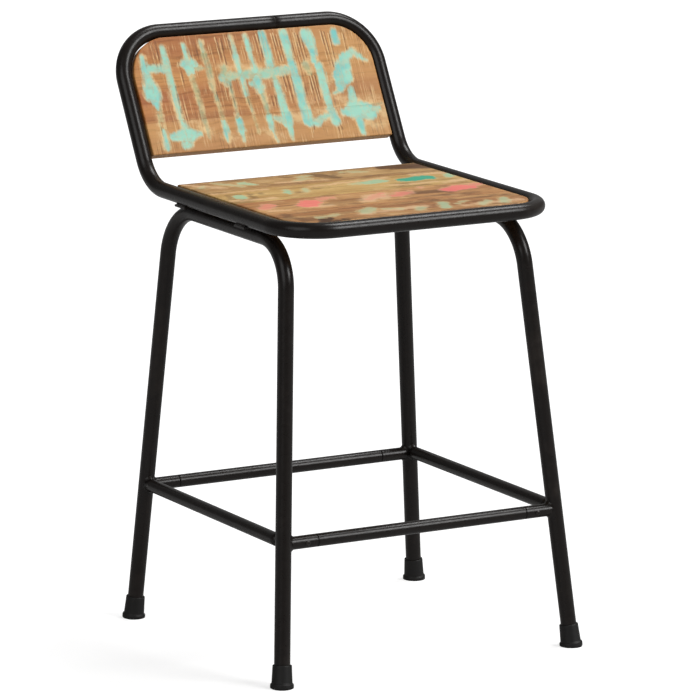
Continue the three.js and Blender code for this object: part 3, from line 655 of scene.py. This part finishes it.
def grid_board(name, low, high, corners, edges, thickness, pitch, relief):
    """A board whose face is a fine grid, rounded at its edges and carved by relief(x, y).

    corners are the radii of the outline (at low y, at high y), and edges the radii of the face's edges
    (at the sides, at low y, at high y). The face lies in z = 0 and the board below it.
    """
    (x0, y0), (x1, y1) = low, high
    side, low_edge, high_edge = edges
    ys = lines_across(y0, y1, low_edge, high_edge, pitch)
    inset = np.maximum(corner_inset(corners[0], ys - y0), corner_inset(corners[1], y1 - ys))
    gaps = len(lines_across(x0, x1, side, side, pitch)) - 2 * (len(EDGE_STEPS) - 1)
    gx = np.array([lines_across(x0 + i, x1 - i, side, side, (x1 - x0 - 2 * i) / gaps) for i in inset])
    gy = np.repeat(ys[:, None], gx.shape[1], axis=1)
    drop = np.maximum(softened(np.minimum(gx - x0, x1 - gx), side), softened(gy - y0, low_edge))
    drop = np.maximum(drop, softened(y1 - gy, high_edge))
    for radius, edge_y, sign in ((corners[0], y0, 1), (corners[1], y1, -1)):
        if radius:
            cx = np.where(gx < (x0 + x1) / 2, x0 + radius, x1 - radius)
            cy = edge_y + sign * radius
            outside = ((gx < x0 + radius) | (gx > x1 - radius)) & (sign * (gy - cy) < 0)
            reach = radius - np.hypot(gx - cx, gy - cy)
            drop = np.where(outside, softened(np.clip(reach, 0, None), side), drop)
    inner = np.minimum(np.minimum(gx - x0, x1 - gx), np.minimum(gy - y0, y1 - gy))
    fade = np.clip(inner / RELIEF_FADE, 0, 1)
    gz = -drop - relief(gx.ravel(), gy.ravel()).reshape(gx.shape) * fade
    rows, across = gx.shape
    index = np.arange(rows * across).reshape(rows, across)
    quads = [index[:-1, :-1], index[:-1, 1:], index[1:, 1:], index[1:, :-1]]
    faces = np.stack(quads, -1).reshape(-1, 4).tolist()
    border = [*index[0, :-1], *index[:-1, -1], *index[-1, :0:-1], *index[:0:-1, 0]]
    points = np.stack([gx, gy, gz], -1).reshape(-1, 3)
    rim = points[border]
    wall = rim.copy()
    wall[:, 2] = -thickness + BACK_CHAMFER[1]
    foot = rim.copy()
    foot[:, :2] += np.sign([(x0 + x1) / 2, (y0 + y1) / 2] - rim[:, :2]) * BACK_CHAMFER[0]
    foot[:, 2] = -thickness
    points = np.vstack([points, wall, foot])
    count, first = len(border), rows * across
    for k in range(count):
        n = (k + 1) % count
        faces.append((border[n], border[k], first + k, first + n))
        faces.append((first + n, first + k, first + count + k, first + count + n))
    faces.append([first + count + k for k in reversed(range(count))])
    mesh = bpy.data.meshes.new(name)
    mesh.from_pydata(points.tolist(), [], [[int(i) for i in face] for face in faces])
    mesh.validate()
    return mesh


def store_marks(mesh, marks):
    """Stores the distance inside each mark's strokes, and their strength; sides and back stay bare."""
    places = np.empty(len(mesh.vertices) * 3)
    mesh.vertices.foreach_get("co", places)
    x, y, z = places.reshape(-1, 3).T / MM
    for name, strokes in marks.items():
        inside, strength = distance_inside(x, y, strokes)
        stored = {name: np.where(z > -FACE_DEPTH, inside, BARE)}
        if len(strokes[0]) > 6:
            stored[f"{name}_strength"] = strength
        for title, values in stored.items():
            attribute = mesh.attributes.new(title, "FLOAT", "POINT")
            attribute.data.foreach_set("value", values.astype(np.float32))


def ripple(x, y, along, across, seed):
    """Smooth noise between -1 and 1 at each place, stretched by the two wavelengths."""
    return np.array([noise.noise((a / along, b / across, seed)) for a, b in zip(x, y)])


def smooth_by_angle(piece, degrees=35):
    """Keeps flat faces flat beside rounded edges."""
    piece.data.set_sharp_from_angle(angle=math.radians(degrees))
    normals = piece.modifiers.new("face weighted normals", "WEIGHTED_NORMAL")
    normals.keep_sharp = True


def add_seat_planks():
    for index in range(1, 5):
        low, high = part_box(f"seat_plank_{index}")
        corner = SEAT_CORNER_RADIUS if index == 1 else 0
        outer, joint = 1.6 * MM, 0.55 * MM
        edges = (outer, outer if index == 1 else joint, outer if index == 4 else joint)
        flat_low, flat_high = (low[0], low[1] - FRONT_Y), (high[0], high[1] - FRONT_Y)

        def relief(x, y, seed=index):
            return 0.06 * MM * (1 + ripple(x, y, 60 * MM, 14 * MM, seed))

        name, thickness = f"seat_plank_{index}_wood", high[2] - low[2]
        mesh = grid_board(name, flat_low, flat_high, (corner, 0), edges, thickness, SEAT_GRID, relief)
        store_marks(mesh, SEAT_MARKS)
        mesh.transform(Matrix.Translation((0, FRONT_Y, high[2])))
        smooth_by_angle(make_object(mesh, seat_wood(index), [f"seat_plank_{index}"]))


def add_backrest_boards():
    half = BACKREST_HALF_WIDTH
    gap = 0.06 * MM
    outer, joint = 1.4 * MM, 0.12 * MM
    scratches, grooves = scratch_strokes()
    marks = {"paint": BACKREST_PAINT, "scratch": scratches, "groove": grooves, "cream": BACKREST_CREAM}
    boards = {
        "lower": (BACKREST_BOTTOM, BACKREST_JOINT - gap, 0, (outer, outer, joint)),
        "upper": (BACKREST_JOINT + gap, BACKREST_TOP, BACKREST_CORNER, (outer, joint, outer)),
    }

    def relief(x, y):
        sawn = np.clip(distance_inside(x / MM, y / MM, BACKREST_PAINT)[0] / 2 + 0.5, 0, 1)
        scratched = np.clip(distance_inside(x / MM, y / MM, scratches)[0] / 0.8 + 0.8, 0, 1)
        waves = ripple(x, y, 40 * MM, 12 * MM, 5.0)
        return MM * (0.35 * sawn + 0.25 * scratched + 0.08 * (1 + waves))

    for seed, (name, (bottom, top, corner, edges)) in enumerate(boards.items()):
        title = f"backrest_{name}_wood"
        low, high = (-half, bottom), (half, top)
        mesh = grid_board(title, low, high, (0, corner), edges, BACKREST_THICKNESS, BACKREST_GRID, relief)
        store_marks(mesh, marks)
        turn = Matrix((Vector((1, 0, 0)), BACK_UP, BACK_FORWARD)).transposed().to_4x4()
        mesh.transform(Matrix.Translation(on_back(0, 0, BACKREST_FACE)) @ turn)
        material = backrest_wood(title, 3.1 + seed * 2.3)
        smooth_by_angle(make_object(mesh, material, [f"backrest_{name}_board"]))


# ---- tubes and feet ----


def add_tube(name, path, radius_at, material, nodes=(), segments=40):
    make_object(ring_mesh(name, sweep(path, radius_at, segments)), material, nodes)


def add_loop(material):
    w = LOOP_HALF_WIDTH
    corners = [
        on_back(SEAM_X + SEAM_GAP / 2, BACK_LENGTH),
        on_back(w, BACK_LENGTH),
        Vector((w, SEAT_CORNER_Y, SEAT_RAIL_Z)),
        Vector((w, FRONT_Y, SEAT_RAIL_Z)),
        Vector((-w, FRONT_Y, SEAT_RAIL_Z)),
        Vector((-w, SEAT_CORNER_Y, SEAT_RAIL_Z)),
        on_back(-w, BACK_LENGTH),
        on_back(SEAM_X - SEAM_GAP / 2, BACK_LENGTH),
    ]
    path = bent_path(corners, [TOP_BEND, *[SEAT_BEND] * 4, TOP_BEND])
    near_start, near_end = path[0].lerp(path[1], 0.045), path[-1].lerp(path[-2], 0.045)
    path = [path[0], near_start, *path[1:-1], near_end, path[-1]]
    ends = (0, len(path) - 1)

    def radius_at(i):
        return TUBE_RADIUS - (SEAM_BEVEL if i in ends else 0)

    add_tube("seat_back_tube", path, radius_at, material, ["seat_back_frame"])
    add_seam_bead(material)


def add_leg_frames(material):
    for side in SIDES:
        corners = [
            on_leg(side, "front", LEG_END_Z),
            on_leg(side, "front", LEG_RAIL_Z),
            on_leg(side, "rear", LEG_RAIL_Z),
            on_leg(side, "rear", LEG_END_Z),
        ]
        path = bent_path(corners, [LEG_BEND, LEG_BEND])
        add_tube(f"{side}_leg_tube", path, lambda i: TUBE_RADIUS, material, [f"{side}_leg_frame"])


def weld_swell(place, step, amount):
    """The ripples of a hand weld, as a factor of its size."""
    return 1 + amount * (noise.noise(place * 900) + 0.5 * math.sin(step * 1.7))


def add_seam_bead(material):
    """The weld bead round the seam of the top rail."""
    centre = on_back(SEAM_X, BACK_LENGTH)
    points = ring_points(centre, BACK_UP, BACK_FORWARD, TUBE_RADIUS - SEAM_BEAD_DEPTH, WELD_STEPS)
    across = BACK_FORWARD.cross(BACK_UP)
    rings = []
    for i, point in enumerate(points):
        outward, radius = (point - centre).normalized(), SEAM_BEAD * weld_swell(point, i, 0.1)
        rings.append(ring_points(point, outward, across, radius, 12))
    make_object(ring_mesh("top_rail_seam", rings, closed=True), material)


def add_weld(side, end, way, material):
    """A fillet weld round the tube that leaves a leg along `way`, wider above and below the tube."""
    facing = "side" if abs(way.y) > abs(way.x) else "socket"
    centre = on_leg(side, end, SIDE_STRETCHER_Z if facing == "side" else CROSS_STRETCHER_Z)
    leg_way = (on_leg(side, end, LEG_RAIL_Z) - on_leg(side, end, 0)).normalized()
    across = way.cross(leg_way).normalized()
    upward = across.cross(way).normalized()
    lean = leg_way.dot(way) / leg_way.dot(upward)

    def on_leg_surface(radius, angle, ahead):
        sideways, up = radius * math.sin(angle), radius * math.cos(angle)
        depth = up * lean + math.sqrt((TUBE_RADIUS**2 - sideways**2) * (1 + lean**2))
        return centre + across * sideways + upward * up + way * (depth + ahead)

    rings = []
    for k in range(WELD_STEPS):
        angle = 2 * math.pi * k / WELD_STEPS
        swell = weld_swell(centre + Vector((k * 0.4 / 900, 0, 0)), k, 0.12)
        spread = (WELD_REACH + WELD_EXTRA * math.cos(angle) ** 2) * swell
        outer = on_leg_surface(STRETCHER_RADIUS + spread, angle, -WELD_SINK)
        corner = on_leg_surface(STRETCHER_RADIUS + 0.25 * spread, angle, 0.25 * spread)
        inner = on_leg_surface(STRETCHER_RADIUS - WELD_OVERLAP, angle, spread * 1.1)
        ring = []
        for share in (0, 0.2, 0.4, 0.6, 0.8, 1):
            near, far = outer.lerp(corner, share), corner.lerp(inner, share)
            ring.append(near.lerp(far, share))
        ring.append(on_leg_surface(STRETCHER_RADIUS - WELD_ROOT[0], angle, -WELD_ROOT[1]))
        rings.append(ring)
    mesh = ring_mesh(f"{end}_{side}_{facing}_weld", rings, closed=True)
    make_object(mesh, material)


def add_side_stretchers(material):
    for side in SIDES:
        front, rear = (on_leg(side, end, SIDE_STRETCHER_Z) for end in ENDS)
        way = (rear - front).normalized()
        path = bent_path([front + way * IN_LEG, rear - way * IN_LEG], [])
        name = f"{side}_side_stretcher"
        add_tube(f"{name}_tube", path, lambda i: STRETCHER_RADIUS, material, [name])
        add_weld(side, "front", way, material)
        add_weld(side, "rear", -way, material)


def add_cross_stretchers(material):
    r, rounding = STRETCHER_RADIUS, STRETCHER_LIP
    for end in ENDS:
        mouths = []
        for side, sign in SIDES.items():
            inward = Vector((-sign, 0, 0))
            axis = on_leg(side, end, CROSS_STRETCHER_Z)
            mouths.append(axis + inward * SOCKET_REACH)
            hidden = SOCKET_REACH - SPIGOT_SHOWN
            profile = [(0, IN_LEG), (r, IN_LEG), *lip(SOCKET_REACH - rounding, 90)]
            profile += [(SPIGOT_RADIUS, SOCKET_REACH), (SPIGOT_RADIUS, hidden), (0, hidden)]
            mesh = turned(f"{end}_{side}_socket_tube", profile, axis, inward)
            node = f"{end}_{side}_stretcher_socket"
            smooth_by_angle(make_object(mesh, material, [node]))
            add_weld(side, end, inward, material)
        start, stop = mouths
        neck = SPIGOT_RADIUS - SPIGOT_PLAY
        left_end = [(0, -SPIGOT_SHOWN), (neck, -SPIGOT_SHOWN), (neck, rounding)]
        left_end += reversed(lip(2 * rounding, -90))
        length = (stop - start).length
        right_end = [(radius, length - height) for radius, height in reversed(left_end)]
        mesh = turned(f"{end}_stretcher_tube", left_end + right_end, start, stop - start)
        smooth_by_angle(make_object(mesh, material, [f"{end}_stretcher"]))


# A foot's radius and height in millimetres, from the sole up; what lies under the floor is cut off.
FOOT_OUTLINE = [
    (0, -4), (13, -4), (15, -3), (15.9, -0.5), (16.1, 1), (16.1, 4), (15.95, 4.9), (15.5, 5.6), (14.9, 6.1),
    (14.45, 6.6), (14.2, 7.4), (13.9, 14), (13.5, 22), (13.2, 29), (13.05, 30.3), (12.6, 30.9), (11.7, 31),
    (11.1, 30.4), (11.1, 24), (0, 24),
]


def add_feet(material):
    profile = [(radius * MM, height * MM) for radius, height in FOOT_OUTLINE]
    for side in SIDES:
        for end in ENDS:
            foot = on_leg(side, end, 0)
            leg_way = on_leg(side, end, LEG_RAIL_Z) - foot
            mesh = turned(f"{end}_{side}_rubber_foot", profile, foot, leg_way)
            for vertex in mesh.vertices:
                vertex.co.z = max(vertex.co.z, 0.0)
            smooth_by_angle(make_object(mesh, material, [f"{end}_{side}_foot"]), 50)


# ---- fasteners and small plates ----


def cross_recess(x, y, size):
    """Depth share of a Phillips recess at a place on a screw head."""
    arm, width = 0.6 * size, 0.14 * size
    reach = min(max(abs(x) - arm, abs(y) - width), max(abs(y) - arm, abs(x) - width))
    return min(max(-reach / (0.08 * size), 0), 1)


def hex_recess(x, y, size):
    """Depth share of a hexagon socket."""
    flat = 0.42 * size
    distance = max(abs(x * math.cos(a) + y * math.sin(a)) for a in (0, math.pi / 3, 2 * math.pi / 3))
    return min(max((flat - distance) / (0.06 * size), 0), 1)


def add_fastener(node, outward, material, head_height):
    """A screw in place of its CAD node: domed head with a recess, standing at the node's outer end."""
    low, high = (Vector(corner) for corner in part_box(node))
    centre = (low + high) / 2
    outward = outward.normalized()
    places = [vertex.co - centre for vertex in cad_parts[node].data.vertices]
    heights = [place.dot(outward) for place in places]
    radii = [(place - outward * height).length for place, height in zip(places, heights)]
    head = max(radii)
    shank = min(radius for radius in radii if radius > 0.5 * MM)
    top, bottom = max(heights), min(heights)
    dome = head_height * 0.6
    rows = [(0, bottom), (shank, bottom), (shank, top - head_height), (head * 0.96, top - head_height)]
    rows += [(head, top - head_height * 0.85), (head, top - dome)]
    steps = 12
    for k in range(1, steps + 1):
        share = 1 - k / steps
        rows.append((head * share, top - dome * share**2.6))
    mesh = turned(f"{node}_steel", rows, centre, outward, SCREW_SIDES)
    side = outward.orthogonal().normalized()
    other = outward.cross(side)
    for vertex in mesh.vertices:
        local = vertex.co - centre
        height, x, y = local.dot(outward), local.dot(side), local.dot(other)
        if height > top - dome and math.hypot(x, y) < head * 0.85:
            vertex.co -= outward * head_height * 0.45 * cross_recess(x, y, head)
    smooth_by_angle(make_object(mesh, material, [node]), 40)


def add_leg_bolt(node, material):
    """A countersunk bolt with a hexagon socket, its head flush with the cross bar."""
    low, high = (Vector(corner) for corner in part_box(node))
    top = Vector(((low.x + high.x) / 2, (low.y + high.y) / 2, high.z))
    head, length = (high.x - low.x) / 2, high.z - low.z
    chamfer, rim = 0.6 * MM, 0.2 * MM
    profile = [(0, -length), (BOLT_SHANK - chamfer, -length), (BOLT_SHANK, -length + chamfer)]
    profile += [(BOLT_SHANK, BOLT_SHANK - head), (head, -rim), (head - rim, 0)]
    profile += [(head * (1 - k / 10), 0) for k in range(1, 11)]
    mesh = turned(f"{node}_steel", profile, top, UP, SCREW_SIDES)
    for vertex in mesh.vertices:
        local = vertex.co - top
        if local.z > -rim / 2:
            vertex.co.z -= HEX_DEPTH * hex_recess(local.x, local.y, head)
    smooth_by_angle(make_object(mesh, material, [node]), 40)


def add_fasteners(material):
    for side in SIDES:
        for end in ENDS:
            out = Vector((0, -1 if end == "front" else 1, 0))
            add_fastener(f"{end}_{side}_socket_screw", out, material, SMALL_HEAD)
            add_leg_bolt(f"{end}_{side}_leg_bolt", material)
            add_fastener(f"{end}_{side}_seat_screw", -UP, material, LARGE_HEAD)
        for row in ("lower", "upper"):
            add_fastener(f"{row}_{side}_backrest_screw", -BACK_FORWARD, material, LARGE_HEAD)


def finish_cad_node(node, material, bevel):
    """Gives a small CAD plate its material and softened edges."""
    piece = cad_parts[node]
    piece.data.materials.clear()
    piece.data.materials.append(material)
    edge = piece.modifiers.new("softened edges", "BEVEL")
    edge.width = bevel
    edge.segments = 2
    edge.limit_method = "ANGLE"
    edge.angle_limit = math.radians(50)


def add_small_plates(steel, dark):
    for side in SIDES:
        for row in ("lower", "upper"):
            finish_cad_node(f"{row}_{side}_backrest_tab", steel, PLATE_EDGE)
        for end in ENDS:
            finish_cad_node(f"{end}_{side}_leg_insert", dark, INSERT_EDGE)
            add_bar_weld(side, end, steel)
    for end in ENDS:
        finish_cad_node(f"{end}_cross_bar", steel, BAR_EDGE)


def add_bar_weld(side, end, material):
    """A short weld where the cross bar's end meets the seat rail."""
    low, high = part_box(f"{end}_cross_bar")
    x = SIDES[side] * (LOOP_HALF_WIDTH + BAR_WELD_OUT)
    count = 28
    points = []
    for k in range(count + 1):
        share = 0.06 + 0.88 * k / count
        points.append(Vector((x, low[1] + (high[1] - low[1]) * share, high[2] + BAR_WELD_UP)))

    def radius_at(i):
        rounded = math.sqrt(max(0.02, 1 - (2 * i / count - 1) ** 6))
        return BAR_WELD_RADIUS * rounded * (1 + 0.22 * noise.noise(points[i] * 400))

    add_tube(f"{end}_{side}_bar_weld", points, radius_at, material, segments=14)


# ---- studio ----


def add_floor():
    mesh = bpy.data.meshes.new("floor")
    corners = [(x * FLOOR_HALF, y * FLOOR_HALF, 0) for x, y in ((-1, -1), (1, -1), (1, 1), (-1, 1))]
    mesh.from_pydata(corners, [], [(0, 1, 2, 3)])
    floor = bpy.data.objects.new("floor", mesh)
    bpy.context.scene.collection.objects.link(floor)
    s = Shader("pale_floor")
    grey = (FLOOR_GREY, FLOOR_GREY, FLOOR_GREY, 1)
    glow = s.times(s.add("ShaderNodeLightPath").outputs["Is Camera Ray"], FLOOR_GLOW)
    s.finished(Base_Color=grey, Roughness=0.9, Specular_IOR_Level=0.1)
    s.finished(Emission_Color=(1, 1, 1, 1), Emission_Strength=glow)
    mesh.materials.append(s.material)


def add_light(name, place, energy, spread):
    data = bpy.data.lights.new(name, "SUN")
    data.energy = energy
    data.angle = math.radians(spread)
    light = bpy.data.objects.new(name, data)
    light.location = place
    light.rotation_mode = "QUATERNION"
    light.rotation_quaternion = (Vector(LIT_POINT) - Vector(place)).to_track_quat("-Z", "Y")
    bpy.context.scene.collection.objects.link(light)


def add_studio():
    """A soft key from the right, one overhead and weak fills, in a dim room that the camera sees as white."""
    world = bpy.data.worlds.new("studio")
    bpy.context.scene.world = world
    world.use_nodes = True
    tree = world.node_tree
    backdrop = tree.nodes["Background"]
    room = tree.nodes.new("ShaderNodeBackground")
    for background, strength in ((backdrop, 1.0), (room, ROOM_STRENGTH)):
        background.inputs["Color"].default_value = (1, 1, 1, 1)
        background.inputs["Strength"].default_value = strength
    seen = tree.nodes.new("ShaderNodeLightPath")
    mix = tree.nodes.new("ShaderNodeMixShader")
    for i, output in enumerate((seen.outputs["Is Camera Ray"], room.outputs[0], backdrop.outputs[0])):
        tree.links.new(output, mix.inputs[i])
    tree.links.new(mix.outputs[0], tree.nodes["World Output"].inputs["Surface"])
    for name, light in LIGHTS.items():
        add_light(name, *light)


def add_camera():
    """A long lens, a little above seat height, from the front left."""
    azimuth, elevation, roll = (math.radians(angle) for angle in CAMERA_ANGLES)
    level = math.cos(elevation)
    back = Vector((math.sin(azimuth) * level, -math.cos(azimuth) * level, math.sin(elevation)))
    right = UP.cross(back).normalized()
    up = back.cross(right)
    turn = Matrix.Rotation(roll, 3, back)
    axes = Matrix((turn @ right, turn @ up, back)).transposed()
    data = bpy.data.cameras.new("camera")
    data.sensor_width = SENSOR_WIDTH
    data.lens = SENSOR_WIDTH * FOCAL_SHARE
    data.clip_end = 100
    camera = bpy.data.objects.new("camera", data)
    place = Vector(CAMERA_TARGET) + back * CAMERA_DISTANCE
    camera.matrix_world = Matrix.Translation(place) @ axes.to_4x4()
    bpy.context.scene.collection.objects.link(camera)
    bpy.context.scene.camera = camera


# ---- assembly ----

bpy.context.scene.view_settings.view_transform = "Standard"
add_camera()
black, screws = enamel(), dark_steel()
add_loop(black)
add_leg_frames(black)
add_side_stretchers(black)
add_cross_stretchers(black)
add_seat_planks()
add_backrest_boards()
add_feet(rubber())
add_fasteners(screws)
add_small_plates(black, screws)
add_floor()
add_studio()
